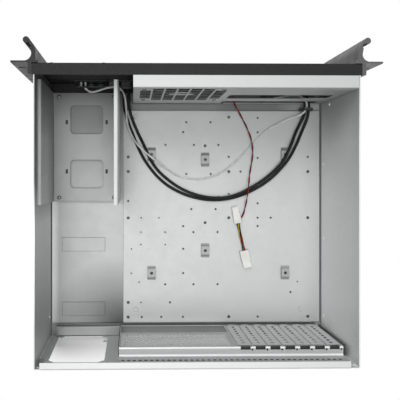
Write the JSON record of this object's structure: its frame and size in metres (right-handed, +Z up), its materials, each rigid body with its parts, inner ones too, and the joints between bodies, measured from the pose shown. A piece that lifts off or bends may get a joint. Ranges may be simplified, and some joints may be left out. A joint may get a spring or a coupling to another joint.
{
  "type": "rackmount server case",
  "caption": "Empty rackmount server case with its lid off: steel body, black front, dark handles with rack ears, fan bracket, drive cage, pierced board tray, vented rear.",
  "frame": {"origin": "under the middle of the whole case, on the surface that it stands on", "axes": "+X towards the drive cage and power supply side, +Y towards the rear, +Z up"},
  "size_m": [0.4826, 0.43, 0.177],
  "materials": {
    "galvanised_sheet": "galvanised, fine spangle",
    "black_panel": "textured black powder coat",
    "handle_metal": "dark anodised, drawn grain",
    "black_plastic": "moulded, fine texture",
    "white_plastic": "moulded nylon",
    "clear_plastic": "clear, polished ends",
    "black_sleeve": "smooth cable sheath",
    "grey_sleeve": "smooth wire insulation",
    "red_sleeve": "smooth wire insulation",
    "yellow_sleeve": "smooth wire insulation",
    "screw_steel": "zinc plated",
    "black_screw": "blackened",
    "circuit_board": "dark solder mask"
  },
  "bodies": {
    "chassis": {"base_pan": "galvanised_sheet", "board_tray": "galvanised_sheet", "bay_floor": "galvanised_sheet", "psu_ledge": "galvanised_sheet", "rear_frame": "galvanised_sheet", "stepped_wall": "galvanised_sheet", "fan_bracket": "galvanised_sheet", "fan_frame": "black_plastic", "fan_screws": "screw_steel", "drive_cage": "galvanised_sheet", "cage_screws": "screw_steel", "front_panel": "black_panel", "handle_left": "handle_metal", "handle_right": "handle_metal", "handle_screws": "black_screw", "bay_cover": "black_panel", "bay_screws": "black_screw", "io_bezel": "black_plastic", "io_board": "circuit_board", "light_pipes": "clear_plastic", "black_lead_a": "black_sleeve", "black_lead_b": "black_sleeve", "grey_lead": "grey_sleeve", "fan_lead": "red_sleeve", "adapter_lead": "yellow_sleeve", "plug_a": "black_plastic", "plug_b": "black_plastic", "grey_plug": "black_plastic", "fan_plug": "white_plastic", "power_plug": "white_plastic", "cable_tie": "black_plastic", "slot_cover_1": "galvanised_sheet", "slot_cover_2": "galvanised_sheet", "slot_cover_3": "galvanised_sheet", "slot_cover_4": "galvanised_sheet", "slot_cover_5": "galvanised_sheet", "slot_cover_6": "galvanised_sheet", "slot_cover_7": "galvanised_sheet", "usb_socket_1": "screw_steel", "usb_socket_2": "screw_steel"},
    "rotor": {"fan_rotor": "black_plastic"},
    "power": {"power_button": "black_plastic"},
    "reset": {"reset_button": "black_plastic"}
  },
  "joints": [
    {"name": "fan_spin", "type": "hinge", "parent": "chassis", "child": "rotor", "pos_m": [0.016, -0.16, 0.11], "axis": [0, 1, 0], "continuous": true},
    {"name": "power_press", "type": "slide", "parent": "chassis", "child": "power", "axis": [0, 1, 0], "range_m": [0, 0.0015], "stiffness_N_per_m": 600, "springref_m": -0.001},
    {"name": "reset_press", "type": "slide", "parent": "chassis", "child": "reset", "axis": [0, 1, 0], "range_m": [0, 0.0015], "stiffness_N_per_m": 600, "springref_m": -0.001}
  ]
}
